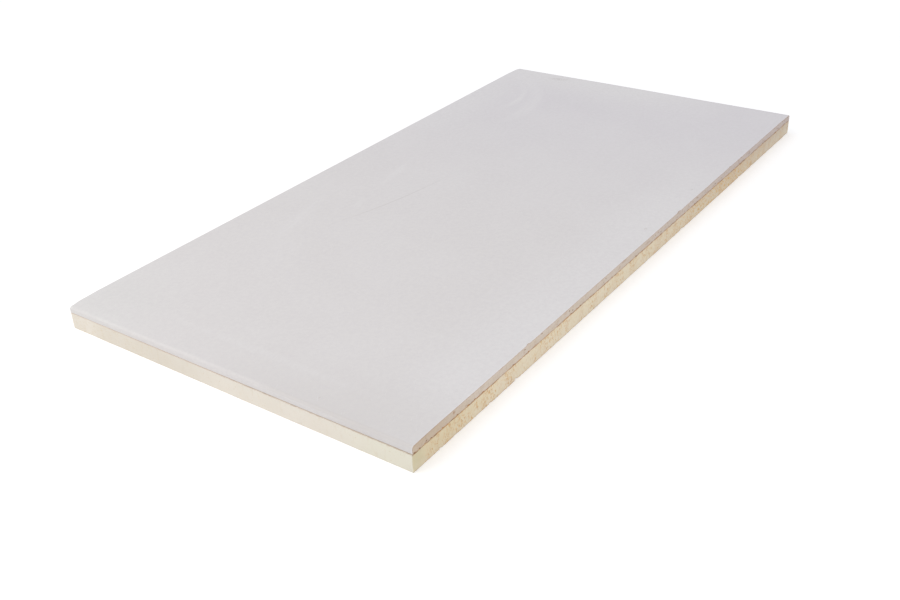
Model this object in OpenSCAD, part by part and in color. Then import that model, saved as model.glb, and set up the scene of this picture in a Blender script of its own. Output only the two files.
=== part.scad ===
// A cut piece of insulated plasterboard, lying flat with its papered face up.
// X runs across the board, between its two paper-bound edges.
// Y runs along the board, between its two sawn edges.
// Z is 0 at the underside of the insulation, and the origin is the middle of the underside.

/* [Sheet] */
// Width of the board between its paper-bound edges
board_w = 1200; // [600:1:1220]
// Length of the piece between its sawn edges
cut_len = 600; // [300:1:3000]

/* [Layers] */
// Thickness of the plasterboard, with both of its papers
plaster_t = 12.5; // [9.5:0.5:19]
// Thickness of the insulation, with its back facer
insulation_t = 25; // [20:1:100]
// Thickness of the face paper, which also binds the long edges
face_paper_t = 0.5; // [0.3:0.05:0.8]
// Thickness of the back paper and the adhesive that hold the two boards together
back_paper_t = 0.6; // [0.3:0.05:1]
// Thickness of the facer under the insulation
facer_t = 0.4; // [0.2:0.05:1]

/* [Tapered edges] */
// Width of the taper along each paper-bound edge
taper_w = 50; // [20:1:80]
// Depth of the taper at the edge
taper_d = 1.5; // [0.5:0.1:2.5]
// Radius of the arris where the face paper turns down the edge
arris_r = 4; // [1.5:0.1:6]
// Angle of the slight edge where the arris meets the flats on either side, in degrees
arris_break = 12; // [8:1:30]

/* [Hidden] */
$fn = 96;

joint_z = insulation_t;
face_z = joint_z + plaster_t;
taper_slope = taper_d / taper_w;
taper_angle = atan(taper_slope);

// Centre of the arris, equally far from the bound edge and from the taper
arris_depth = arris_r * cos(arris_break);
arris_x = arris_depth - board_w / 2;
arris_z = face_z - taper_d + arris_depth * taper_slope - arris_depth / cos(taper_angle);

// Half of the plasterboard's section, from the joint up the bound edge and the taper to the face,
// with a sharp arris. inset is how far it lies inside the papered surface.
function half_section(inset) = [
    [inset - board_w / 2, joint_z],
    [inset - board_w / 2, face_z - taper_d + inset * taper_slope - inset / cos(taper_angle)],
    [taper_w - board_w / 2 + inset * tan(taper_angle / 2), face_z - inset]
];

function mirrored(points) = [for (i = [len(points) - 1 : -1 : 0]) [-points[i].x, points[i].y]];

// What rounding takes off the left arris
module arris_waste(inset) {
    translate([arris_x, arris_z])
        difference() {
            translate([-2 * arris_r, 0]) square(2 * arris_r);
            circle(r = arris_r - inset);
        }
}

// Section of the plasterboard across its width, with both arrises rounded
module plaster_section(inset) {
    difference() {
        polygon(concat(half_section(inset), mirrored(half_section(inset))));
        arris_waste(inset);
        mirror([1, 0]) arris_waste(inset);
    }
}

// Runs a section along the whole piece, from one sawn edge to the other
module along_board() {
    rotate([90, 0, 0])
        linear_extrude(height = cut_len, center = true)
            children();
}

// A flat layer from height z, as wide as the board less an inset at each bound edge
module flat_layer(z, thickness, inset = 0) {
    translate([inset - board_w / 2, -cut_len / 2, z])
        cube([board_w - 2 * inset, cut_len, thickness]);
}

// The paper over the face, which turns down both bound edges to the joint
module face_paper() {
    color([0.85, 0.84, 0.84])
        along_board()
            difference() {
                plaster_section(0);
                plaster_section(face_paper_t);
            }
}

// The gypsum between the two papers
module gypsum_core() {
    color([0.80, 0.74, 0.69])
        difference() {
            along_board() plaster_section(face_paper_t);
            flat_layer(joint_z, back_paper_t, face_paper_t);
        }
}

// The back paper, glued to the insulation
module back_paper() {
    color([0.56, 0.42, 0.28])
        flat_layer(joint_z, back_paper_t, face_paper_t);
}

// The rigid foam insulation
module foam_core() {
    color([0.90, 0.87, 0.76])
        flat_layer(facer_t, insulation_t - facer_t);
}

// The facer under the foam
module back_facer() {
    color([0.85, 0.82, 0.80])
        flat_layer(0, facer_t);
}

face_paper();
gypsum_core();
back_paper();
foam_core();
back_facer();
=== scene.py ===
# %% [markdown]
# # A cut piece of insulated plasterboard
# The real thing is two boards in one. A sheet of plasterboard, which is gypsum between two papers, is
# glued to a slab of rigid foam with a thin facer under it. This piece lies face up. Its short ends are
# the factory's paper-bound edges, and its long sides were sawn, so they show every layer.
# A CAD model already gives each layer its size and place. Each layer here is a new mesh that fills the
# same space, because a sawn edge is never a flat plane.

# %% Load the frame
import math

import bmesh
import bpy
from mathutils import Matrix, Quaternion, Vector, noise


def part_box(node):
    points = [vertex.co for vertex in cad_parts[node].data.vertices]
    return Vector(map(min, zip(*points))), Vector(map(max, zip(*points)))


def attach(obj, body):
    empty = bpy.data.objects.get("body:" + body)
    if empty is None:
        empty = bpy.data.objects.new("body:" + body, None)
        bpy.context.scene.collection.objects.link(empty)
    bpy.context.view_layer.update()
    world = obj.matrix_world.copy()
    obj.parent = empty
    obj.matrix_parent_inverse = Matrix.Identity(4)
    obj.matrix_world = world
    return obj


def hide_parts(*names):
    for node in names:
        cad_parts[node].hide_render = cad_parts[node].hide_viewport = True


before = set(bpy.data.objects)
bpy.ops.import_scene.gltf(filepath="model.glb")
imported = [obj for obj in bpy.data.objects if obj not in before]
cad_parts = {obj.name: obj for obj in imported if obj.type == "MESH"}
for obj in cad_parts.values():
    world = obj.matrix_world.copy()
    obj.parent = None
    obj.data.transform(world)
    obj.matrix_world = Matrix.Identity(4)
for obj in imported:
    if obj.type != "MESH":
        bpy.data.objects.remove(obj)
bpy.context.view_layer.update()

# %% [markdown]
# ## The camera
# A product picture of a board is taken from above one corner, so that the face and two edges show. The
# camera could be moved by hand until it looks right, but this one was worked out from where the corners
# of the board fall in the picture, which keeps its outline true. It comes first, because it decides how
# fine the detail has to be: at the near corner one pixel covers a little more than a millimetre.

# %% Place the camera
EYE = Vector((-1.3354, -0.9016, 0.7763))
AIM = Vector((-0.3100, -0.1495, 0.0375))
ROLL = math.radians(-2.51)
SENSOR_MM = 36.0
LENS_MM = 42.76

scene = bpy.context.scene
camera = bpy.data.objects.new("camera", bpy.data.cameras.new("camera"))
scene.collection.objects.link(camera)
scene.camera = camera
camera.data.sensor_width = SENSOR_MM
camera.data.lens = LENS_MM
camera.rotation_mode = "QUATERNION"
camera.location = EYE
camera.rotation_quaternion = (AIM - EYE).to_track_quat("-Z", "Y") @ Quaternion((0, 0, 1), ROLL)
scene.view_settings.view_transform = "Standard"

# %% [markdown]
# ## Light
# Paper and foam are matt and pale, so they need broad light that never clips. One lamp alone would
# throw a hard shadow, so most of the light comes from an even sky. A wide sun from above and the left
# gives the bound end more light than the sawn side. A warm key panel beyond the left end makes the face
# fade a little towards the far end, and a smaller fill panel, low in front, warms the sawn side.
# The sky is mixed by Light Path: rays to the camera, in mirrors and through glass see plain white, and
# everything else is lit by a quieter sky. The floor needs the same rays, so they have a helper.

# %% Light the board
SKY_LIGHT = (0.670, 0.675, 0.695, 1.0)
SKY_SEEN = (1.0, 1.0, 1.0, 1.0)
SUN_LEVEL = 0.55
SUN_SPREAD = math.radians(50)
KEY_WATTS, KEY_SIZE = 6.5, 1.2
FILL_WATTS, FILL_SIZE = 2.2, 0.8
WARM = (1.0, 0.94, 0.84)


def new_lamp(name, kind, place, towards):
    """A lamp at a place, pointed at another place."""
    lamp = bpy.data.objects.new(name, bpy.data.lights.new(name, kind))
    scene.collection.objects.link(lamp)
    lamp.location = place
    lamp.rotation_mode = "QUATERNION"
    lamp.rotation_quaternion = (Vector(towards) - Vector(place)).to_track_quat("-Z", "Y")
    return lamp


def new_panel(name, place, towards, watts, size):
    """A square panel of warm light."""
    panel = new_lamp(name, "AREA", place, towards)
    panel.data.energy = watts
    panel.data.size = size
    panel.data.color = WARM


def seen_directly(nodes, links):
    """1 for rays that show a surface as it is: to the camera, in a mirror or through glass."""
    rays = nodes.new("ShaderNodeLightPath")
    seen = rays.outputs["Is Camera Ray"]
    for ray in ("Is Glossy Ray", "Is Transmission Ray"):
        either = nodes.new("ShaderNodeMath")
        either.operation = "MAXIMUM"
        links.new(seen, either.inputs[0])
        links.new(rays.outputs[ray], either.inputs[1])
        seen = either.outputs[0]
    return seen


sun = new_lamp("sun", "SUN", (-0.6, 0.3, 2.2), (0.0, 0.0, 0.0))
sun.data.energy = SUN_LEVEL
sun.data.angle = SUN_SPREAD
new_panel("key panel", (-1.6, 0.75, 1.1), (-0.2, 0.1, 0.0), KEY_WATTS, KEY_SIZE)
new_panel("fill panel", (-0.9, -1.6, 0.28), (-0.4, -0.3, 0.0), FILL_WATTS, FILL_SIZE)

world = bpy.data.worlds.new("studio")
scene.world = world
world.use_nodes = True
sky_nodes, sky_links = world.node_tree.nodes, world.node_tree.links
sky_mix = sky_nodes.new("ShaderNodeMix")
sky_mix.data_type = "RGBA"
sky_links.new(seen_directly(sky_nodes, sky_links), sky_mix.inputs[0])
sky_mix.inputs[6].default_value = SKY_LIGHT
sky_mix.inputs[7].default_value = SKY_SEEN
sky_links.new(sky_mix.outputs[2], sky_nodes["Background"].inputs["Color"])
print("sky", SKY_LIGHT[:3], "sun", SUN_LEVEL, "panels", KEY_WATTS, FILL_WATTS)

# %% [markdown]
# ## The floor
# The floor is one large pale sheet. A diffuse white alone would come out light grey, and more lamps
# would wash out the board. So a little emission, for the same rays that see a white sky, lifts the
# floor to white. The shadow of the board still shows, because the diffuse part carries it.

# %% Lay the floor
FLOOR_HALF = 20.0
FLOOR_COLOUR = (0.92, 0.92, 0.92, 1.0)
FLOOR_LIFT = 0.24

bm = bmesh.new()
bmesh.ops.create_grid(bm, x_segments=1, y_segments=1, size=FLOOR_HALF)
floor = bpy.data.objects.new("floor", bpy.data.meshes.new("floor"))
bm.to_mesh(floor.data)
bm.free()
scene.collection.objects.link(floor)

floor_finish = bpy.data.materials.new("floor")
floor_finish.use_nodes = True
nodes, links = floor_finish.node_tree.nodes, floor_finish.node_tree.links
nodes.remove(nodes["Principled BSDF"])
matt = nodes.new("ShaderNodeBsdfDiffuse")
matt.inputs["Color"].default_value = FLOOR_COLOUR
lift = nodes.new("ShaderNodeEmission")
lifted = nodes.new("ShaderNodeMath")
lifted.operation = "MULTIPLY"
lifted.inputs[1].default_value = FLOOR_LIFT
both = nodes.new("ShaderNodeAddShader")
links.new(seen_directly(nodes, links), lifted.inputs[0])
links.new(lifted.outputs[0], lift.inputs["Strength"])
links.new(matt.outputs[0], both.inputs[0])
links.new(lift.outputs[0], both.inputs[1])
links.new(both.outputs[0], nodes["Material Output"].inputs["Surface"])
floor.data.materials.append(floor_finish)
print("floor", 2 * FLOOR_HALF, "m wide")

# %% [markdown]
# ## Colours
# Colours are easiest to choose as a picture shows them, from 0 to 255, but Blender counts in amounts of
# light. This helper turns one into the other, by the curve that the Standard view uses.

# %% Define colours
PICTURE_TOP = 255
DARK_END = 0.04045


def shade(red, green, blue):
    """A colour as a picture shows it, from 0 to 255, as the light values that Blender counts in."""
    picture = [channel / PICTURE_TOP for channel in (red, green, blue)]
    light = [c / 12.92 if c <= DARK_END else ((c + 0.055) / 1.055) ** 2.4 for c in picture]
    return (*light, 1.0)


print("mid grey is", round(shade(128, 128, 128)[0], 3))

# %% [markdown]
# ## A short way to write finishes
# A finish could be a picture laid over the mesh, but a picture stretches, and it repeats or runs out.
# Every finish below is procedural: it is worked out from the place on the board, in metres, so it fits
# any side. The same few nodes come back each time, so this class adds them with one short call each.
# Sizes are given as on the real board, and the Mapping node divides by them.

# %% Define the finish helper


class Finish:
    """A material being made. Each call adds a node and returns the socket with its result."""

    def __init__(self, name, shine=0.25):
        self.material = bpy.data.materials.new(name)
        self.material.use_nodes = True
        self.nodes = self.material.node_tree.nodes
        self.links = self.material.node_tree.links
        self.shader = self.nodes["Principled BSDF"]
        self.shader.inputs["Specular IOR Level"].default_value = shine
        self.place = self.nodes.new("ShaderNodeTexCoord").outputs["Object"]
        axes = self.nodes.new("ShaderNodeSeparateXYZ")
        self.links.new(self.place, axes.inputs["Vector"])
        self.x, self.y, self.z = axes.outputs

    def add(self, kind, output=0, inputs=None, **settings):
        """Adds a node. inputs maps socket names or numbers to values or to other sockets."""
        node = self.nodes.new(kind)
        for name, value in settings.items():
            setattr(node, name, value)
        for name, value in (inputs or {}).items():
            if isinstance(value, bpy.types.NodeSocket):
                self.links.new(value, node.inputs[name])
            else:
                node.inputs[name].default_value = value
        return node.outputs[output]

    def local(self, size, centre=(0, 0, 0), turn=0.0, lean=0.0):
        """The place on the board, counted from a centre, turned on the face or leant along a sawn
        side, and in multiples of a size."""
        size = (size,) * 3 if isinstance(size, float) else size
        inputs = {"Vector": self.place, "Location": centre, "Rotation": (0, lean, turn), "Scale": size}
        return self.add("ShaderNodeMapping", inputs=inputs, vector_type="TEXTURE")

    def noise(self, size, detail=2.0, rough=0.5, turn=0.0, centre=(0, 0, 0), lean=0.0):
        """Soft noise about 0.5, whose lumps are about as large as size."""
        vector = self.local(size, centre, turn, lean)
        inputs = {"Vector": vector, "Scale": 1.0, "Detail": detail, "Roughness": rough}
        return self.add("ShaderNodeTexNoise", inputs=inputs)

    def cells(self, size, centre=(0, 0, 0)):
        """The distance to the nearest of many scattered points, in multiples of size."""
        inputs = {"Vector": self.local(size, centre), "Scale": 1.0}
        return self.add("ShaderNodeTexVoronoi", "Distance", inputs)

    def fade(self, value, low, high, start=0.0, end=1.0):
        """start where the value is at low, end where it is at high, and smooth in between."""
        inputs = {"Value": value, "From Min": low, "From Max": high, "To Min": start, "To Max": end}
        return self.add("ShaderNodeMapRange", "Result", inputs, interpolation_type="SMOOTHSTEP")

    def math(self, operation, a, b):
        """One step of arithmetic with two numbers."""
        return self.add("ShaderNodeMath", inputs={0: a, 1: b}, operation=operation)

    def times(self, a, b):
        """The product of two numbers, such as a pattern and the region that it is kept to."""
        return self.math("MULTIPLY", a, b)

    def most(self, a, b):
        """The larger of two numbers, which joins two regions."""
        return self.math("MAXIMUM", a, b)

    def mix(self, amount, a, b):
        """Colour a where the amount is 0, and colour b where it is 1."""
        inputs = {0: amount, 6: a, 7: b}
        return self.add("ShaderNodeMix", 2, inputs, data_type="RGBA")

    def spot(self, centre, size, turn=0.0):
        """1 at a centre, fading to 0 at the ends of a soft-edged oval."""
        local = self.local(size, centre, turn)
        away = self.add("ShaderNodeVectorMath", "Value", {0: local}, operation="LENGTH")
        return self.fade(away, 1.0, 0.2)

    def arc(self, centre, radius, width, where, reach, turn=0.0):
        """1 on a thin circle and 0 off it, inside a soft oval that leaves only an arc of it."""
        inputs = {0: self.local((1.0, 1.0, 1e3), centre)}
        from_centre = self.add("ShaderNodeVectorMath", "Value", inputs, operation="LENGTH")
        off_line = self.math("ABSOLUTE", self.math("SUBTRACT", from_centre, radius), 0.0)
        return self.times(self.fade(off_line, width, 0.25 * width), self.spot(where, reach, turn))

    def mesh_value(self, name):
        """A number that the mesh stores at each vertex."""
        return self.add("ShaderNodeAttribute", "Fac", attribute_name=name)

    def finish(self, colour, roughness, height, depth):
        """Sets the colour and the roughness, and makes a bump of a real depth in metres."""
        bump = {"Height": height, "Distance": depth, "Strength": 1.0}
        self.links.new(colour, self.shader.inputs["Base Color"])
        self.links.new(roughness, self.shader.inputs["Roughness"])
        self.links.new(self.add("ShaderNodeBump", inputs=bump), self.shader.inputs["Normal"])
        print(self.material.name, "has", len(self.nodes), "nodes")
        return self.material


print("one call each for:", [name for name in vars(Finish) if not name.startswith("_")])

# %% [markdown]
# ## Sizes
# The sizes of the five layers could be typed in again, but the CAD model may still change. So they are
# read from its boxes, and only the taper and the arris, which a box can't tell, are written here again.

# %% Measure the layers
MM = 0.001
paper_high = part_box("face_paper")[1]
core_low, core_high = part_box("gypsum_core")
back_low, back_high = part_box("back_paper")
foam_low, foam_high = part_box("foam_core")
facer_low, facer_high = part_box("back_facer")

HALF_WIDE = paper_high.x
HALF_LONG = paper_high.y
FACE_Z = paper_high.z
JOINT_Z = foam_high.z
PAPER = FACE_Z - core_high.z
TAPER_WIDE = 50 * MM
TAPER_DEEP = 1.5 * MM
ARRIS = 4 * MM
# Where the upright side of a bound edge ends and the round arris starts
WRAP_TOP = FACE_Z - TAPER_DEEP - ARRIS
NEAR_CORNER = (-HALF_WIDE, -HALF_LONG, 0.0)
LEFT_CORNER = (-HALF_WIDE, HALF_LONG, 0.0)
# STEP is the width of the columns that a piece is cut into, and RIM how far in the first line lies
STEP = 1.25 * MM
RIM = 3 * MM
# A point this near to a plane counts as on it
CLOSE = 0.1 * MM
print("paper", round(PAPER / MM, 2), "mm, columns", round(2 * HALF_WIDE / STEP))

# %% [markdown]
# ## Shared shapes
# The plasterboard and the foam were glued by machine and don't line up exactly: at the near corner the
# bound edge stands back from the foam by a millimetre or two. The paper and the gypsum both follow that
# line. Each could work it out for itself, but two copies soon differ and leave a gap, so it is one
# function. So are the fall of the taper, the waves of the face and the small holes along the joint.
# Their noise has fixed seeds, so the board comes out the same each time.

# %% Define the shared shapes
SET_BACK = 1.6 * MM
SHOULDER_WORN = 1.2 * MM
# Waves of the face, each with its depth, its size and its seed
FACE_WAVES = ((0.12 * MM, 0.16, 1), (0.05 * MM, 0.05, 2))
# Where the larger holes lie along the joint in the front side, in metres
JOINT_PITS = (-0.596, -0.586, -0.575, -0.563, -0.540, -0.510, -0.487, -0.473, -0.455, -0.386, -0.349,
              -0.239, -0.213, -0.120, -0.044, 0.099, 0.166, 0.261, 0.357, 0.375, 0.464, 0.527, 0.573)


def smooth_step(value, low, high):
    """0 up to low, 1 from high, and smooth between them. low may be the larger of the two."""
    t = min(max((value - low) / (high - low), 0.0), 1.0)
    return t * t * (3 - 2 * t)


def lumps(x, y, size, seed):
    """Smooth noise from 0 to 1 over a plane, with lumps of a size in metres."""
    return 0.5 + 0.5 * noise.noise(Vector((x / size, y / size, 17.3 * seed)))


def set_back(x, y):
    """How far a point of the plasterboard moves inwards along X, because its bound edge isn't in line."""
    near_end = smooth_step(abs(x), HALF_WIDE - TAPER_WIDE, HALF_WIDE)
    along = 0.5 - 0.5 * y / HALF_LONG
    amount = SET_BACK * along if x < 0 else 0.5 * SET_BACK * (1 - along)
    return -math.copysign(near_end * amount, x)


def taper_fall(x):
    """How far the face has fallen at x, down the taper."""
    return max(0.0, abs(x) - (HALF_WIDE - TAPER_WIDE)) * TAPER_DEEP / TAPER_WIDE


def hollow(x, y):
    """How far the face lies below its even shape: it is wavy, worn at the rear shoulders, and its taper
    is a little shallower towards the front."""
    shoulder = SHOULDER_WORN * smooth_step(y, 0.0, HALF_LONG)
    shoulder *= smooth_step(abs(x), HALF_WIDE - 18 * MM, HALF_WIDE - 2 * MM)
    shallow = 0.4 * taper_fall(x) * smooth_step(y, -0.12, -0.28)
    return shoulder - shallow + sum(deep * lumps(x, y, size, seed) for deep, size, seed in FACE_WAVES)


def joint_pit(x, side):
    """0 on most of the joint in a sawn side, and up to 1 in the small holes that lie along it."""
    pit = smooth_step(lumps(x, side, 0.005, 3), 0.74, 0.88)
    for centre in JOINT_PITS if side < 0 else ():
        pit = max(pit, smooth_step(abs(x - centre), 2.0 * MM, 0.8 * MM))
    return pit


print("fall at the arris in mm:", round(taper_fall(HALF_WIDE) / MM, 2))

# %% [markdown]
# ## From bmesh to a piece
# Each piece ends the same way. Its edges are marked sharp where the surface turns by more than a set
# angle, so flat sides stay crisp and small relief stays soft. Bevelling every edge would do it too, but
# a sawn edge has thousands. Then the piece rides on the part's one body, takes the place of its CAD
# layer and gets its finishes.

# %% Define how a piece is finished
SHARP_TURN = math.radians(40)
# An edge counts as parallel to an axis, and a face as sawn, from this share of its direction up
PARALLEL = 0.999
SAWN_TILT = 0.6


def runs_along(edge, axis):
    """True if an edge is parallel to an axis, 0 for X, 1 for Y and 2 for Z."""
    step = edge.verts[1].co - edge.verts[0].co
    return abs(step[axis]) > PARALLEL * step.length


def is_sawn(face):
    """True if a face looks out of a sawn side, and not up, down or out of a bound end."""
    return abs(face.normal.y) > SAWN_TILT


def cut_into(bm, edges, pieces):
    """Cuts each edge into equal pieces, and the faces between them into strips."""
    if pieces > 1:
        bmesh.ops.subdivide_edges(bm, edges=edges, cuts=pieces - 1, use_grid_fill=True)


def slice_at(bm, y):
    """Cuts a whole mesh along a plane across the board at y."""
    everything = bm.verts[:] + bm.edges[:] + bm.faces[:]
    bmesh.ops.bisect_plane(bm, geom=everything, plane_co=(0, y, 0), plane_no=(0, 1, 0))


def make_piece(bm, name, node, materials):
    """Turns a bmesh into a piece that stands for a CAD node."""
    bmesh.ops.recalc_face_normals(bm, faces=bm.faces)
    for face in bm.faces:
        face.smooth = True
    for edge in bm.edges:
        edge.smooth = edge.calc_face_angle(0.0) < SHARP_TURN
    mesh = bpy.data.meshes.new(name)
    bm.to_mesh(mesh)
    bm.free()
    for material in materials:
        mesh.materials.append(material)
    piece = bpy.data.objects.new(name, mesh)
    scene.collection.objects.link(piece)
    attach(piece, "root")
    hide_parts(node)
    triangles = sum(len(face.vertices) - 2 for face in mesh.polygons)
    print(name, "has", triangles, "triangles")


def slab(low, high, rows):
    """A closed box cut into columns along X and rows up Z, with a line just inside each sawn edge."""
    bm = bmesh.new()
    bmesh.ops.create_cube(bm, size=1.0)
    bmesh.ops.scale(bm, vec=high - low, verts=bm.verts)
    bmesh.ops.translate(bm, vec=(low + high) / 2, verts=bm.verts)
    cut_into(bm, [e for e in bm.edges if runs_along(e, 0)], round((high.x - low.x) / STEP))
    cut_into(bm, [e for e in bm.edges if runs_along(e, 2)], rows)
    slice_at(bm, low.y + RIM)
    slice_at(bm, high.y - RIM)
    return bm


def saw_sides(bm, high, sawn):
    """Moves the points of both sawn sides inwards, and stores how crumbled each one is, which also darkens
    its hollows as painted shade.
    """
    wear_and_shade_layer = bm.verts.layers.float.new("wear")
    for v in bm.verts:
        if abs(v.co.y) > high.y - CLOSE:
            side = math.copysign(1, v.co.y)
            depth, v[wear_and_shade_layer] = sawn(v.co.x, v.co.z, side)
            v.co.y -= side * depth


print("edges turn sharp at", round(math.degrees(SHARP_TURN)), "degrees")

# %% [markdown]
# ## The face paper's finish
# The face of plasterboard is a pale grey paper made for painting. One flat grey would do from far away,
# but on a face this wide it looks like plastic. So broad regions come first, and they are painted light
# and shade: a cooler, darker far half, a lighter far taper, lighter borders, a lighter upright side of
# the fold, a cooler left tip, and painted shade on the near corner and along the arris. Then come the
# mottle and the fibres, and last the marks of use: faint rubs, a long thin scratch and a few scuffs,
# and among the rubs a painted highlight along the left taper's crease. None of it is strong, because
# each layer changes the colour by only a few hundredths. At the sawn border the torn fibres are whiter,
# and the mesh stores where that is.

# %% Choose the paper's colours and marks
PAPER_GREY = shade(224, 221, 220)
# This lilac grey is painted shade, cooler and a little darker, for the far end where less warm light
# falls.
PAPER_LILAC = shade(221, 218, 221)
# This cooler grey is painted light: it takes the warm key light's tint off the left tip.
PAPER_COOL = shade(223, 223, 221)
PAPER_LIGHT = shade(229, 227, 227)
PAPER_DARK = shade(209, 205, 207)
PAPER_SCUFF = shade(174, 165, 160)
# This grey is painted shade, for the near corner and the arris.
PAPER_SHADE = shade(211, 207, 204)
PAPER_TORN = shade(246, 245, 246)

# Each mark has its centre and half size in metres, and the angle in radians that it lies at
RUBS_AND_CREASE_HIGHLIGHT = (
    ((-0.22, 0.21, 0.0), (0.115, 0.016, 1.0), 0.25),
    ((-0.13, 0.16, 0.0), (0.030, 0.010, 1.0), 0.4),
    ((0.00, 0.185, 0.0), (0.095, 0.014, 1.0), 0.18),
    # The last one is no rub but a painted highlight along the left taper's crease, where the face turns
    # down.
    ((-0.545, -0.02, 0.0), (0.010, 0.26, 1.0), 0.0),
)
SCUFFS = (
    ((0.023, -0.282, 0.0), (0.007, 0.004, 1.0), 0.3),
    ((0.192, -0.283, 0.0), (0.005, 0.003, 1.0), 0.0),
    ((0.570, 0.185, 0.0), (0.012, 0.030, 1.0), 0.2),
    ((-0.581, -0.148, 0.0), (0.003, 0.002, 1.0), 0.0),
)
print("rubs and scuffs:", len(RUBS_AND_CREASE_HIGHLIGHT), len(SCUFFS))

# %% Make the face paper's finish


def paper_painted_light(f):
    """Painted light and shade: lilac far off, lighter borders, taper and fold, cool left tip, darker near
    corner and arris.
    """
    # Painted shade: cooler and a little darker towards the far end, where less of the warm key light
    # falls.
    colour = f.mix(f.fade(f.x, -0.2, HALF_WIDE), PAPER_GREY, PAPER_LILAC)
    # Painted light: the far end and its taper, which turns away from the key light, are lighter, and so is
    # the rear border on the far half.
    far_end_light = f.times(f.fade(f.x, 0.44, HALF_WIDE), f.fade(f.y, -0.25, 0.0))
    rear_border_light = f.times(f.fade(f.x, 0.05, 0.35), f.fade(f.y, 0.18, 0.29, 0.0, 0.6))
    colour = f.mix(f.most(far_end_light, rear_border_light), colour, PAPER_LIGHT)
    # Painted light: the front border on the near half is lighter.
    front_border_light = f.times(f.fade(f.y, -0.17, -0.28), f.fade(f.x, 0.05, 0.4, 0.7, 0.0))
    colour = f.mix(front_border_light, colour, PAPER_LIGHT)
    # Painted shade: the arris towards the front, and the near corner, are darker.
    arris_shade = f.fade(f.x, 7 * MM - HALF_WIDE, 4 * MM - HALF_WIDE, 0.0, 0.42)
    arris_shade = f.times(f.fade(f.z, WRAP_TOP + 0.4 * MM, WRAP_TOP + 1.6 * MM), arris_shade)
    arris_shade = f.times(arris_shade, f.fade(f.y, -0.04, -0.12))
    near_corner_shade = f.times(f.spot((-0.62, -0.27, 0.0), (0.16, 0.40, 1.0)), 0.5)
    colour = f.mix(f.math("ADD", near_corner_shade, arris_shade), colour, PAPER_SHADE)
    # Painted light: a cooler tint at the left tip, against the warm key light there.
    painted_cool_left_tip = f.times(f.spot(LEFT_CORNER, (0.20, 0.20, 1.0)), 0.5)
    colour = f.mix(painted_cool_left_tip, colour, PAPER_COOL)
    # Painted light: the fold's upright side is lighter about the middle of each end.
    wrap_light = f.fade(f.z, WRAP_TOP + 1.6 * MM, WRAP_TOP + 0.4 * MM, 0.0, 0.45)
    wrap_middle = f.times(f.fade(f.y, 0.15, -0.05), f.fade(f.y, -0.22, -0.16))
    return f.mix(f.times(wrap_light, wrap_middle), colour, PAPER_LIGHT)


def paper_marks(f, colour):
    """The paper's colour with its rubs, a painted highlight along the left taper's crease, its scratch and
    its scuffs.
    """
    streaky = f.noise((0.05, 0.004, 0.05), turn=0.2)
    for centre, size, turn in RUBS_AND_CREASE_HIGHLIGHT:
        lightened = f.times(f.spot(centre, size, turn), f.fade(streaky, 0.3, 0.65, 0.05, 0.3))
        colour = f.mix(lightened, colour, PAPER_LIGHT)

    # A thin scratch is a shallow arc of a very wide circle, and two rubs at the rear are tighter arcs
    scratch = f.arc((0.1, 1.02, 0.0), 0.925, 0.0016, (-0.085, 0.105, 0.0), (0.17, 0.06, 1.0), -0.25)
    colour = f.mix(f.times(scratch, 0.2), colour, PAPER_SCUFF)
    wide_rub = f.arc((0.359, 0.349, 0.0), 0.200, 0.020, (0.43, 0.19, 0.0), (0.19, 0.11, 1.0), 0.5)
    small_rub = f.arc((0.403, 0.327, 0.0), 0.135, 0.010, (0.44, 0.21, 0.0), (0.12, 0.07, 1.0), 0.5)
    lightened = f.times(f.most(wide_rub, small_rub), f.fade(streaky, 0.3, 0.6, 0.15, 0.42))
    colour = f.mix(lightened, colour, PAPER_LIGHT)

    broken = f.fade(f.noise(0.0022, detail=3.0), 0.40, 0.60)
    for centre, size, turn in SCUFFS:
        scuffed = f.times(f.spot(centre, size, turn), broken)
        colour = f.mix(f.times(scuffed, 0.35), colour, PAPER_SCUFF)
    return colour


def face_paper_finish():
    f = Finish("face_paper", shine=0.2)
    cloud = f.noise(0.11, detail=3.0)
    mottle = f.noise(0.006, detail=3.0, rough=0.6)
    grain = f.noise(0.0014, rough=0.7)
    fine = f.math("ADD", f.times(grain, 0.45), f.times(mottle, 0.55))
    fibres = f.noise((0.012, 0.0016, 0.0016), turn=0.5)
    cross_fibres = f.noise((0.0016, 0.010, 0.0016), turn=0.3, centre=(3, 1, 0))

    colour = f.mix(f.fade(fine, 0.30, 0.70, 0.41, 0.04), paper_painted_light(f), PAPER_DARK)
    colour = f.mix(f.fade(cloud, 0.35, 0.70, 0.0, 0.15), colour, PAPER_LIGHT)
    colour = f.mix(f.fade(fibres, 0.64, 0.74, 0.0, 0.35), colour, PAPER_LIGHT)
    colour = f.mix(f.fade(cross_fibres, 0.66, 0.74, 0.0, 0.30), colour, PAPER_DARK)
    colour = paper_marks(f, colour)

    frayed = f.fade(f.noise(0.003), 0.30, 0.50, 0.6, 1.0)
    whiter = f.times(frayed, f.fade(f.x, -0.45, 0.25, 0.6, 0.3))
    colour = f.mix(f.times(f.mesh_value("torn"), whiter), colour, PAPER_TORN)
    height = f.math("ADD", f.times(fine, 0.7), f.times(fibres, 0.3))
    return f.finish(colour, f.fade(fine, 0.3, 0.7, 0.86, 0.72), height, 0.12 * MM)


face_paper_material = face_paper_finish()

# %% [markdown]
# ## The cut paper's finish
# In the sawn sides the paper shows its own thickness. The saw rubbed it full of gypsum dust, so it is a
# dull tan there, broken by browner dots. One finish could serve for the whole sheet, but then a white
# line would run along the top of each sawn side. So the cut faces get their own finish, which needs no
# more than a few dots, because the cut is only half a millimetre high.

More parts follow.
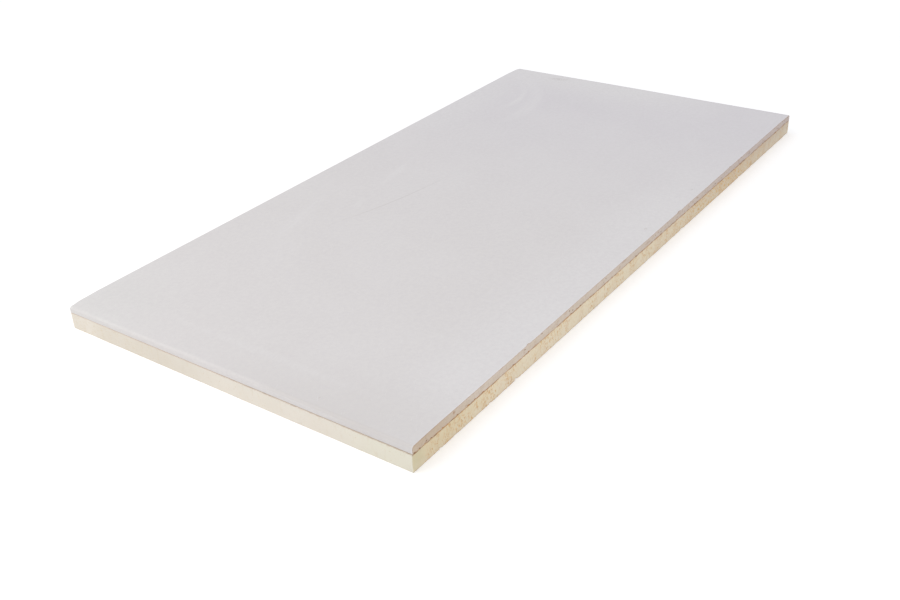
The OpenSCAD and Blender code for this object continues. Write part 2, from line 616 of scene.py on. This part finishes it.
# %% Make the cut paper's finish
CUT_PAPER = shade(196, 178, 160)
CUT_PAPER_FAR = shade(186, 171, 162)
CUT_PAPER_BROWN = shade(168, 134, 108)


def cut_paper_finish():
    f = Finish("cut_paper", shine=0.15)
    dots = f.noise((0.0035, 0.0035, 0.0015), detail=3.0, rough=0.6)
    colour = f.mix(f.fade(f.x, -0.1, 0.6, 0.0, 0.8), CUT_PAPER, CUT_PAPER_FAR)
    colour = f.mix(f.fade(dots, 0.52, 0.66, 0.0, 0.75), colour, CUT_PAPER_BROWN)
    return f.finish(colour, f.fade(dots, 0.3, 0.7, 0.95, 0.85), dots, 0.2 * MM)


cut_paper_material = cut_paper_finish()

# %% [markdown]
# ## The face paper
# The paper is one sheet, folded down over both bound edges to the joint. It could be cut out of a block
# with the gypsum inside, but folding it as the factory does gives it one even thickness. It starts as a
# grid of three faces: two tapers and the flat middle. The outer lines are lowered, the sides are
# extruded down, and a bevel rounds the arris. Only then is it cut fine, so that the bevel has room. Its
# sawn border is pulled about by a little noise, because a saw tears paper, and last it gets its
# thickness.

# %% Fold the face paper
ARRIS_STEPS = 6
WRAP_END = JOINT_Z + 0.95 * MM
# Lines along the board, in millimetres from each sawn edge
ROWS_FROM_EDGE = (0.9, 2.5, 7, 20, 50, 100, 160, 230)


def fold_face_paper():
    """The paper's outer side, without thickness: a face, two tapers and two wraps."""
    bm = bmesh.new()
    bmesh.ops.create_grid(bm, x_segments=3, y_segments=1, size=1.0)
    bmesh.ops.scale(bm, vec=(HALF_WIDE, HALF_LONG, 1.0), verts=bm.verts)
    for v in bm.verts:
        outer = abs(v.co.x) > 0.9 * HALF_WIDE
        v.co.x = math.copysign(HALF_WIDE if outer else HALF_WIDE - TAPER_WIDE, v.co.x)
        v.co.z = FACE_Z - taper_fall(v.co.x)
    sides = [e for e in bm.edges if e.is_boundary and runs_along(e, 1)]
    folded = bmesh.ops.extrude_edge_only(bm, edges=sides)["geom"]
    for v in folded:
        if isinstance(v, bmesh.types.BMVert):
            v.co.z = WRAP_END
    bmesh.ops.bevel(bm, geom=sides, offset=ARRIS, offset_type="OFFSET", segments=ARRIS_STEPS, profile=0.5,
                    affect="EDGES", material=-1)
    for face in bm.faces[:]:
        across = [e for e in face.edges if not runs_along(e, 1)]
        cut_into(bm, across, round(across[0].calc_length() / STEP))
    for row in ROWS_FROM_EDGE:
        slice_at(bm, row * MM - HALF_LONG)
        slice_at(bm, HALF_LONG - row * MM)
    slice_at(bm, 0.0)
    bmesh.ops.recalc_face_normals(bm, faces=bm.faces)
    if max(bm.faces, key=lambda f: f.calc_area()).normal.z < 0:
        bmesh.ops.reverse_faces(bm, faces=bm.faces)
    return bm


bm = fold_face_paper()
print("folded sheet has", len(bm.faces), "faces")

# %% Tear its border and thicken it
# Nicks in the front border, each with its centre in metres, then half its width and its depth in mm
NICKS = ((-0.350, 5.0, 1.3), (0.105, 6.0, 1.6), (0.31, 3.0, 0.8))
# How wide the border is that the saw pulled about, and the part of it that shows white fibres
PULLED_WIDE = 1.5 * MM
WHITE_WIDE = 1.4 * MM


def torn_paper(x, side):
    """How far the paper's sawn border lies inside the sawn plane, in metres."""
    ragged = 0.30 * lumps(x, side, 0.0035, 3) ** 2 + 0.20 * lumps(x, side, 0.02, 4)
    if side < 0:
        ragged += 0.4 * smooth_step(x, -0.47, -0.56)
    for centre, half_wide, depth in NICKS if side < 0 else ():
        away = abs(x - centre) / (half_wide * MM)
        ragged += depth * smooth_step(away, 1.0, 0.2)
    return ragged * MM


torn = bm.verts.layers.float.new("torn")
for v in bm.verts:
    x, y = v.co.x, v.co.y
    side = math.copysign(1, y)
    from_edge = HALF_LONG - abs(y)
    at_edge = smooth_step(from_edge, PULLED_WIDE, 0.0)
    v[torn] = smooth_step(from_edge, WHITE_WIDE, 0.0)
    on_face = smooth_step(v.co.z, JOINT_Z + 6 * MM, JOINT_Z + 10 * MM)
    if v.co.z < WRAP_END + CLOSE:
        v.co.z += 0.35 * MM * lumps(y, x, 0.008, 7)
    v.co.z -= on_face * (hollow(x, y) + at_edge * 0.15 * MM * lumps(x, y, 0.012, 5))
    v.co.y -= side * at_edge * torn_paper(x, side)
    v.co.x += set_back(x, y)
bmesh.ops.solidify(bm, geom=bm.faces[:], thickness=PAPER)
for face in bm.faces:
    face.normal_update()
    face.material_index = 1 if is_sawn(face) else 0
make_piece(bm, "face_paper_sheet", "face_paper", [face_paper_material, cut_paper_material])

# %% [markdown]
# ## The sawn gypsum's finish
# Sawn gypsum is a chalky, slightly pink grey, with fine air pores, a few small holes, faint upright saw
# lines and rusty stains. Further along it turns mauve and gets darker spots. A bump alone can't show
# where it crumbled, so the mesh stores how worn each point is, and worn points are darker. That darkening
# is partly the rust-brown of crumbled gypsum and partly painted shade, deepest in the holes along the
# joint and in the gouges. That way the colour and the relief always agree.

# %% Make the gypsum's finish
GYPSUM = shade(222, 208, 192)
GYPSUM_DUST = shade(227, 215, 204)
GYPSUM_TAN = shade(204, 184, 160)
GYPSUM_MAUVE = shade(212, 199, 194)
GYPSUM_PORE = shade(176, 150, 128)
GYPSUM_RUST = shade(176, 128, 92)
GYPSUM_HOLE = shade(142, 102, 74)


def gypsum_finish():
    f = Finish("gypsum", shine=0.15)
    patch = f.noise((0.018, 0.018, 0.008), detail=3.0)
    grain = f.noise(0.0011, detail=3.0, rough=0.65)
    saw_lines = f.noise((0.0012, 0.0012, 0.012))
    rusty = f.noise((0.012, 0.012, 0.006), centre=(0.8, 0.2, 0.7))
    spots = f.noise((0.005, 0.005, 0.004), detail=3.0, rough=0.6, centre=(0.3, 0.9, 0.1))
    holes = f.cells((0.014, 0.014, 0.008), centre=(0.1, 0.5, 0.2))
    pores = f.math("ADD", f.cells(0.0024), f.fade(f.noise(0.007), 0.42, 0.62, 0.0, 0.2))

    colour = f.mix(f.fade(patch, 0.35, 0.65, 0.0, 0.6), GYPSUM, GYPSUM_DUST)
    colour = f.mix(f.fade(f.x, -0.35, 0.6, 0.0, 0.9), colour, GYPSUM_MAUVE)
    near_corner = f.times(f.spot(NEAR_CORNER, (0.15, 0.15, 1.0)), 0.7)
    colour = f.mix(near_corner, colour, GYPSUM_TAN)
    colour = f.mix(f.fade(saw_lines, 0.52, 0.68, 0.0, 0.20), colour, GYPSUM_PORE)
    colour = f.mix(f.fade(grain, 0.54, 0.72, 0.0, 0.40), colour, GYPSUM_PORE)
    colour = f.mix(f.fade(pores, 0.22, 0.12, 0.0, 0.40), colour, GYPSUM_PORE)
    colour = f.mix(f.fade(rusty, 0.58, 0.74, 0.0, 0.28), colour, GYPSUM_RUST)
    spotted = f.times(f.fade(spots, 0.54, 0.68, 0.0, 0.6), f.fade(f.x, -0.05, 0.15))
    colour = f.mix(spotted, colour, GYPSUM_PORE)
    colour = f.mix(f.fade(holes, 0.15, 0.08, 0.0, 0.8), colour, GYPSUM_HOLE)
    # Darker where it sinks in: rust-brown where the gypsum crumbled, and painted shade in the joint's
    # holes and the gouges.
    colour = f.mix(f.mesh_value("wear"), colour, GYPSUM_RUST)
    height = f.math("ADD", grain, f.fade(pores, 0.12, 0.26, 0.0, 0.6))
    return f.finish(colour, f.fade(grain, 0.3, 0.7, 0.95, 0.85), height, 0.3 * MM)


gypsum_material = gypsum_finish()

# %% [markdown]
# ## The gypsum core
# The core fills the paper. A plain block with a bump would do for its middle, but its border shows
# against the paper and the foam, so the sawn sides are real relief. It starts as a cube cut into columns
# and rows, and its upper points come down along the taper and round the arris. Points on the sawn sides
# then move inwards: a little everywhere, more at the arrises where gypsum crumbles, and most in the
# holes along the joint and in a few gouges.

# %% Saw the gypsum core
GYPSUM_ROWS = 9
# How far the gypsum sinks below the paper along the sawn border
TOP_SUNK = 0.16 * MM
# Gouges in the front side, each with its centre along X and up Z in metres, then half its width, half
# its height and its depth in millimetres
GOUGES = ((0.031, 0.0325, 4.5, 1.2, 1.4), (-0.36, 0.030, 2.0, 1.0, 0.8), (-0.5165, 0.0330, 3.0, 2.5, 0.5))


def core_top(x):
    """Height of the gypsum's upper surface at x, under the paper."""
    inner = ARRIS - PAPER
    centre = HALF_WIDE - ARRIS
    flat = FACE_Z - PAPER - taper_fall(x)
    if abs(x) <= centre:
        return flat
    across = min(abs(x) - centre, inner)
    return FACE_Z - PAPER - taper_fall(centre) - inner + math.sqrt(inner ** 2 - across ** 2)


def sawn_gypsum(x, z, side):
    """(depth in metres, darkening from 0 to 1, partly crumbling and partly painted shade) at a point of a
    sawn side.
    """
    depth = 0.08 + 0.18 * lumps(x, z, 0.0022, 6 + side) + 0.12 * lumps(x, z, 0.03, 8 + side)
    crumble = smooth_step(lumps(x, side, 0.006, 10), 0.55, 0.90)
    at_top = smooth_step(core_top(x) - z, 1.6 * MM, 0.0)
    at_joint = smooth_step(z - core_low.z, 1.6 * MM, 0.0)
    pit = at_joint * joint_pit(x, side)
    depth += at_top * (0.05 + 0.4 * crumble) + at_joint * (0.10 + 0.4 * crumble) + 1.2 * pit
    # This is partly painted shade: it is highest in the holes along the joint and in the gouges.
    wear = 0.35 * at_joint * (0.4 + crumble) + 0.25 * at_top * (0.6 + crumble) + pit
    for centre, height, half_wide, half_high, deep in GOUGES if side < 0 else ():
        away = math.hypot((x - centre) / (half_wide * MM), (z - height) / (half_high * MM))
        gouge = smooth_step(away, 1.0, 0.2)
        depth += deep * gouge
        wear += 0.8 * gouge
    return depth * MM, min(wear, 1.0)


bm = slab(core_low, core_high, GYPSUM_ROWS)
for v in bm.verts:
    share = (v.co.z - core_low.z) / (core_high.z - core_low.z)
    v.co.z = core_low.z + share * (core_top(v.co.x) - core_low.z)
saw_sides(bm, core_high, sawn_gypsum)
for v in bm.verts:
    at_edge = smooth_step(HALF_LONG - abs(v.co.y), 2.5 * MM, 0.0)
    on_top = smooth_step(core_top(v.co.x) - v.co.z, 2.0 * MM, 0.0)
    v.co.z -= on_top * (hollow(v.co.x, v.co.y) + at_edge * TOP_SUNK)
    v.co.x += set_back(v.co.x, v.co.y)
make_piece(bm, "gypsum_sheet", "gypsum_core", [gypsum_material])

# %% [markdown]
# ## The back paper
# Between the gypsum and the foam lies a brown paper with dried adhesive. It shows only as a thin broken
# line in the sawn sides, and as a brown line along the bound ends, where the adhesive was pressed out
# under the paper's fold. On the left end it is greyer at the front and pinker at the rear, and its
# lower part is as pale as the foam. A painted line would be flat, so the sheet is cut back from the
# sawn plane by an uneven amount, and the line sits in a groove with real shadow in it.

# %% Make the back paper's finish
ADHESIVE = shade(194, 136, 74)
ADHESIVE_DARK = shade(124, 70, 28)
ADHESIVE_GREY = shade(178, 152, 128)
ADHESIVE_PINK = shade(216, 196, 184)
ADHESIVE_PALE = shade(229, 222, 208)


def left_end_adhesive(f):
    """The adhesive's colour on the left end: mostly grey at the front, and pink on the rear half."""
    return f.mix(f.fade(f.y, -0.06, 0.04, 0.2, 0.9), ADHESIVE_GREY, ADHESIVE_PINK)


def back_paper_finish():
    f = Finish("back_paper", shine=0.2)
    dashes = f.noise((0.009, 0.009, 0.002), detail=3.0)
    grain = f.noise(0.001)
    on_left_end = f.fade(f.x, 5 * MM - HALF_WIDE, 4 * MM - HALF_WIDE)
    low_down = f.fade(f.z, JOINT_Z + 0.45 * MM, JOINT_Z + 0.25 * MM, 0.0, 0.9)
    colour = f.mix(f.fade(dashes, 0.40, 0.62), ADHESIVE, ADHESIVE_DARK)
    colour = f.mix(f.fade(grain, 0.55, 0.70, 0.0, 0.4), colour, ADHESIVE_DARK)
    colour = f.mix(on_left_end, colour, left_end_adhesive(f))
    colour = f.mix(f.times(low_down, on_left_end), colour, ADHESIVE_PALE)
    return f.finish(colour, f.fade(dashes, 0.3, 0.7, 0.9, 0.7), grain, 0.2 * MM)


back_paper_material = back_paper_finish()

# %% Lay the back paper
# How far it ends inside each bound end
BACK_PAPER_SHORT = 0.15 * MM


def sawn_back_paper(x, z, side):
    """(depth in metres, and 0, as it gets no darkening) at a point of a sawn side."""
    depth = 0.15 + 0.6 * lumps(x, side, 0.007, 12) + 1.2 * joint_pit(x, side)
    return depth * MM, 0.0


bm = slab(back_low, back_high, 1)
saw_sides(bm, back_high, sawn_back_paper)
reach = (HALF_WIDE - BACK_PAPER_SHORT) / back_high.x
for v in bm.verts:
    v.co.x = v.co.x * reach + set_back(v.co.x, v.co.y)
make_piece(bm, "back_paper_sheet", "back_paper", [back_paper_material])

# %% [markdown]
# ## The foam's finishes
# Rigid foam is cream where it was moulded and yellower where it was just sawn, because the saw opens
# fresh cells. One finish can't be both, so the foam has two. The sawn one is fresh and greenish at the
# near corner and duller far away, and painted lighter low down, against the shade near the floor. It is
# grainy, with tan pits where the blade tore, slanted strokes, rusty flecks that gather in one cluster
# near the corner, dots along its foot, and a brown trace of adhesive along its top. The moulded one is
# smooth and pale, with soft upright bands, a few tan specks, painted shade towards the rear and, on the
# rear half, short dashes.

# %% Make the sawn foam's finish
SAWN_FOAM = shade(238, 224, 193)
SAWN_FOAM_PALE = shade(243, 232, 210)
SAWN_FOAM_TAN = shade(226, 190, 132)
SAWN_FOAM_RUST = shade(204, 144, 66)
SAWN_FOAM_DULL = shade(220, 205, 185)
SAWN_FOAM_NEAR = shade(230, 216, 184)
SAWN_FOAM_FAR = shade(214, 204, 190)
FRESH_FOAM = shade(220, 210, 178)
# Where the rusty flecks gather, and where the slanted strokes are strongest
CLUSTER = (-0.556, -HALF_LONG, 0.011)
STROKES = (0.26, -HALF_LONG, 0.0)


def soaked_top(f, deep, share):
    """How much adhesive has soaked into the foam, from its top down to a depth."""
    blotch = f.fade(f.noise((0.008, 0.008, 0.002)), 0.44, 0.56, 0.1 * share, share)
    return f.times(f.fade(f.z, JOINT_Z - deep, JOINT_Z - 0.2 * deep), blotch)


def foam_regions(f, fresh):
    """The sawn foam's broad colours: fresh at the near corner, duller far away, and painted light low
    down.
    """
    patch = f.noise((0.030, 0.030, 0.020), detail=3.0)
    colour = f.mix(f.fade(patch, 0.35, 0.65, 0.0, 0.6), SAWN_FOAM, SAWN_FOAM_PALE)
    colour = f.mix(f.fade(f.x, -0.47, -0.40, 0.0, 0.45), colour, SAWN_FOAM_PALE)
    colour = f.mix(f.fade(f.x, -0.1, 0.4, 0.0, 0.9), colour, SAWN_FOAM_DULL)
    colour = f.mix(f.fade(f.x, 0.38, 0.56, 0.0, 0.5), colour, SAWN_FOAM_FAR)
    # Painted light: paler towards the foot, against the shade that the floor puts there.
    colour = f.mix(f.fade(f.z, 24 * MM, 2 * MM, 0.0, 0.5), colour, SAWN_FOAM_PALE)
    colour = f.mix(f.fade(f.x, -0.54, -0.44, 0.85, 0.0), colour, SAWN_FOAM_NEAR)
    colour = f.mix(fresh, colour, FRESH_FOAM)
    # More painted light low down on the near half, after the fresh corner.
    low_down = f.times(f.fade(f.z, 15 * MM, 2 * MM, 0.0, 0.25), f.fade(f.x, 0.05, -0.10))
    return f.mix(low_down, colour, SAWN_FOAM_PALE)


def sawn_side_adhesive(f):
    """The adhesive's colour along a sawn side: dotted, darkest at the near corner, darker far away."""
    dotted = f.fade(f.noise(0.005, centre=(0.7, 0.0, 0.0)), 0.50, 0.62, 0.0, 0.8)
    at_corner = f.fade(f.x, -0.548, -0.560)
    far_away = f.fade(f.x, -0.05, 0.25, 0.0, 0.6)
    return f.mix(f.most(f.most(dotted, at_corner), far_away), ADHESIVE, ADHESIVE_DARK)


def sawn_foam_finish():
    f = Finish("sawn_foam", shine=0.15)
    cells = f.noise(0.0013, rough=0.7)
    mottle = f.noise((0.0030, 0.0030, 0.0050), detail=3.0, rough=0.6)
    flecks = f.noise((0.0032, 0.0032, 0.0044), detail=3.0, rough=0.65, centre=(0.5, 0.0, 0.3))
    strokes = f.noise((0.0020, 0.0040, 0.0090), centre=(0.4, 0.2, 0.1), lean=-0.85)
    foot_dots = f.noise(0.0035, centre=(0.0, 0.4, 0.0))
    fresh = f.spot(NEAR_CORNER, (0.034, 0.034, 1.0))
    torn = f.fade(f.noise((0.022, 0.022, 0.030), centre=(0.2, 0.1, 0.0)), 0.42, 0.60, 0.25, 1.0)
    torn = f.times(torn, f.math("SUBTRACT", 1.0, fresh))

    mottled = f.times(f.fade(mottle, 0.48, 0.66), f.times(torn, 0.75))
    colour = f.mix(mottled, foam_regions(f, fresh), SAWN_FOAM_TAN)
    stroked = f.times(f.fade(strokes, 0.52, 0.64), f.spot(STROKES, (0.26, 0.20, 1.0)))
    colour = f.mix(stroked, colour, SAWN_FOAM_TAN)
    colour = f.mix(f.fade(cells, 0.56, 0.74, 0.0, 0.30), colour, SAWN_FOAM_TAN)
    scattered = f.most(f.times(torn, 0.6), f.spot(CLUSTER, (0.014, 0.10, 0.014)))
    colour = f.mix(f.times(f.fade(flecks, 0.56, 0.66), scattered), colour, SAWN_FOAM_RUST)
    # Torn pits turn rust-brown, and the holes along the joint and the crumbled top arris get painted
    # shade.
    colour = f.mix(f.mesh_value("wear"), colour, SAWN_FOAM_RUST)
    at_foot = f.times(f.fade(f.z, 2.2 * MM, 0.6 * MM), f.fade(foot_dots, 0.50, 0.64, 0.05, 0.60))
    colour = f.mix(at_foot, colour, SAWN_FOAM_RUST)
    colour = f.mix(soaked_top(f, 1.3 * MM, 0.85), colour, sawn_side_adhesive(f))
    height = f.math("ADD", cells, f.times(mottle, 0.5))
    return f.finish(colour, f.fade(cells, 0.3, 0.7, 0.95, 0.80), height, 0.25 * MM)


sawn_foam_material = sawn_foam_finish()

# %% Make the moulded foam's finish
MOULDED_FOAM = shade(230, 223, 211)
MOULDED_FOAM_PALE = shade(234, 228, 218)
MOULDED_FOAM_CREAM = shade(231, 227, 212)
MOULDED_FOAM_TAN = shade(214, 198, 170)
# This grey is painted shade.
MOULDED_FOAM_SHADE = shade(208, 200, 186)


def moulded_foam_finish():
    f = Finish("moulded_foam", shine=0.3)
    bands = f.noise((0.03, 0.045, 0.12))
    streaks = f.noise((0.004, 0.006, 0.014))
    dashes = f.noise((0.004, 0.008, 0.0012))
    specks = f.cells((0.009, 0.009, 0.007))
    grain = f.noise(0.0014)

    colour = f.mix(f.fade(bands, 0.35, 0.65, 0.0, 0.7), MOULDED_FOAM, MOULDED_FOAM_PALE)
    colour = f.mix(f.fade(f.y, 0.14, 0.0, 0.0, 0.4), colour, MOULDED_FOAM_PALE)
    # Painted shade towards the rear of the bound ends, against the key light that falls strongly there.
    rear_end_shade = f.times(f.fade(f.y, 0.0, 0.08, 0.0, 0.25), f.fade(f.y, 0.27, 0.21))
    colour = f.mix(rear_end_shade, colour, MOULDED_FOAM_SHADE)
    colour = f.mix(f.spot(NEAR_CORNER, (0.15, 0.15, 1.0)), colour, MOULDED_FOAM_CREAM)
    colour = f.mix(f.fade(streaks, 0.54, 0.76, 0.0, 0.20), colour, MOULDED_FOAM_TAN)
    dashed = f.times(f.fade(dashes, 0.54, 0.70, 0.0, 0.5), f.fade(f.y, 0.05, 0.25))
    colour = f.mix(dashed, colour, MOULDED_FOAM_TAN)
    colour = f.mix(f.fade(grain, 0.58, 0.74, 0.0, 0.20), colour, MOULDED_FOAM_TAN)
    colour = f.mix(f.fade(specks, 0.13, 0.06, 0.0, 0.55), colour, MOULDED_FOAM_TAN)
    colour = f.mix(soaked_top(f, 0.8 * MM, 0.4), colour, left_end_adhesive(f))
    height = f.math("ADD", f.times(grain, 0.4), streaks)
    return f.finish(colour, f.fade(grain, 0.3, 0.7, 0.80, 0.62), height, 0.15 * MM)


moulded_foam_material = moulded_foam_finish()

# %% [markdown]
# ## The foam core
# Foam tears more than gypsum. Its sawn sides get fine grain, slanted strokes and bands of small pits,
# and both arrises crumble, the lower one so much that its outline is uneven. A displacement texture
# could do this too, but moving the points in code lets the same pits set the colour: torn pits turn
# rust-brown, and the holes along the joint and the crumbled upper arris also get painted shade. The
# bound ends are smooth but bowed: they stand furthest out about the middle of their height and draw in
# above and below it, most towards the near corner and the corner opposite it.

# %% Define how foam is sawn
# Torn bands in the front side, each with its centre in metres, half its width in mm, and its share
TORN_BANDS = ((-0.555, 7, 0.7), (-0.533, 9, 0.6), (-0.510, 7, 0.8), (-0.455, 11, 0.7), (-0.405, 9, 0.8))
# Notches in the lower front arris, each with its centre in metres, then half its width and depth in mm
NOTCHES = ((-0.379, 5.0, 2.4), (-0.546, 3.0, 1.2), (-0.44, 3.5, 1.4), (0.12, 8.0, 1.6), (0.36, 5.0, 1.8))
# How far the strokes lean along the side, as a share of their height
SLANT = 0.25


def pits(x, z, size, seed):
    """0 on plain foam and up to 1 in small round pits."""
    nearest = noise.voronoi(Vector((x / size, z / size, 11.0 * seed)))[0][0]
    return smooth_step(nearest, 0.42, 0.10)


def listed(x, places, least):
    """The larger of a least amount and that of the nearest place in a list, which fades to its sides."""
    for centre, half_wide, amount in places:
        least = max(least, amount * smooth_step(abs(x - centre), half_wide * MM, 0.3 * half_wide * MM))
    return least


def chipped(x, side):
    """How many millimetres have broken off the lower sawn arris, of the foam and of the facer with it."""
    chip = 0.5 * smooth_step(lumps(x, side, 0.010, 25), 0.55, 0.85) + 0.12 * lumps(x, side, 0.003, 26)
    return listed(x, NOTCHES if side < 0 else (), chip)


def sawn_foam(x, z, side):
    """(depth in metres, darkening from 0 to 1, partly torn pits and partly painted shade) at a point of a
    sawn side.
    """
    slanted = x + SLANT * side * z
    band = smooth_step(lumps(slanted, side, 0.020, 14), 0.52, 0.72)
    band = listed(slanted, TORN_BANDS if side < 0 else (), band)
    pit = band * pits(x, z, 0.0034, 15 + side)
    grain = lumps(x, z, 0.0020, 17 + side)
    stroke = lumps(slanted, 0.12 * z, 0.0030, 19 + side)
    depth = 0.12 * grain + 0.15 * stroke * (0.4 + band) + 0.45 * pit + 0.15 * lumps(x, z, 0.045, 21 + side)
    crumble = smooth_step(lumps(x, side, 0.008, 23), 0.50, 0.85)
    at_top = smooth_step(foam_high.z - z, 1.6 * MM, 0.0)
    hole = at_top * joint_pit(x, side)
    depth += at_top * (0.10 + 0.5 * crumble) + 1.2 * hole
    depth += smooth_step(z - foam_low.z, 3.0 * MM, 0.0) * chipped(x, side)
    # The joint's holes and the crumbled top arris add painted shade here.
    wear = 0.45 * pit + 0.35 * at_top * crumble + 0.05 * band + 0.8 * hole
    return depth * MM, min(wear, 1.0)


print("torn bands and notches:", len(TORN_BANDS), len(NOTCHES))

# %% Saw the foam core
FOAM_ROWS = 18
END_STEP = 2.5 * MM
# How deep a bound end is bowed, in millimetres, and how far up it stands furthest out
BOW = 0.7
WIDEST = 0.52


def cut_ends(bm):
    """Cuts both bound ends into columns, so that they can bow."""
    ends = [e for e in bm.edges if runs_along(e, 1) and abs(e.verts[0].co.x) > HALF_WIDE - CLOSE]
    long_ends = [e for e in ends if e.calc_length() > 2 * RIM]
    cut_into(bm, long_ends, round((HALF_LONG - RIM) * 2 / END_STEP))


def bowed_end(y, z, end):
    """How far a bound end of the foam lies inside its plane at one place, in metres."""
    height = (z - foam_low.z) / (foam_high.z - foam_low.z)
    bow = BOW * (height - WIDEST) ** 2 / WIDEST ** 2
    bow *= 0.25 + 0.75 * smooth_step(end * y, 0.05, 0.28)
    wave = 0.15 * lumps(y, z, 0.05, 27 + end) + 0.06 * lumps(y, z, 0.004, 29 + end)
    return (bow + wave) * MM


def bow_ends(bm):
    """Moves both bound ends inwards by their bow, and the points close behind them by a part of it."""
    for v in bm.verts:
        end = math.copysign(1, v.co.x)
        near_end = smooth_step(abs(v.co.x), HALF_WIDE - 10 * MM, HALF_WIDE)
        v.co.x -= end * near_end * bowed_end(v.co.y, max(v.co.z, foam_low.z), end)


bm = slab(foam_low, foam_high, FOAM_ROWS)
cut_ends(bm)
for face in bm.faces:
    face.material_index = 0 if is_sawn(face) else 1
bow_ends(bm)
saw_sides(bm, foam_high, sawn_foam)
make_piece(bm, "foam_slab", "foam_core", [sawn_foam_material, moulded_foam_material])

# %% [markdown]
# ## The back facer
# The underside is a thin fleece-like facer. It is white, but clouded with grey and pink where the foam
# soaked into it, and short fibres run through it in every direction. Each fibre could be a mesh of its
# own, but they are thinner than a pixel, so two crossing layers of stretched noise stand for them. Its
# sawn border is as ragged as the foam above it, so both use the same chips.

# %% Lay the back facer
FACER_WHITE = shade(228, 222, 217)
FACER_CLOUD = shade(206, 194, 187)
FACER_FIBRE = shade(238, 234, 230)


def back_facer_finish():
    f = Finish("back_facer", shine=0.2)
    cloud = f.noise(0.05, detail=4.0, rough=0.6)
    blotch = f.noise(0.009, detail=3.0, rough=0.6)
    fibres = f.noise((0.020, 0.0018, 0.002), turn=0.7)
    cross_fibres = f.noise((0.0018, 0.018, 0.002), turn=0.5)
    colour = f.mix(f.fade(cloud, 0.38, 0.66), FACER_WHITE, FACER_CLOUD)
    colour = f.mix(f.fade(blotch, 0.50, 0.75, 0.0, 0.5), colour, FACER_CLOUD)
    colour = f.mix(f.fade(fibres, 0.60, 0.72, 0.0, 0.6), colour, FACER_FIBRE)
    colour = f.mix(f.fade(cross_fibres, 0.60, 0.72, 0.0, 0.6), colour, FACER_FIBRE)
    height = f.math("ADD", fibres, cross_fibres)
    return f.finish(colour, f.fade(blotch, 0.3, 0.7, 0.9, 0.75), height, 0.2 * MM)


def sawn_facer(x, z, side):
    """(depth in metres, and 0, as it gets no darkening) at a point of a sawn side."""
    depth = 0.08 + 0.2 * lumps(x, side, 0.006, 31) ** 2 + chipped(x, side)
    return depth * MM, 0.0


bm = slab(facer_low, facer_high, 1)
cut_ends(bm)
saw_sides(bm, facer_high, sawn_facer)
bow_ends(bm)
make_piece(bm, "back_facer_sheet", "back_facer", [back_facer_finish()])

# %% [markdown]
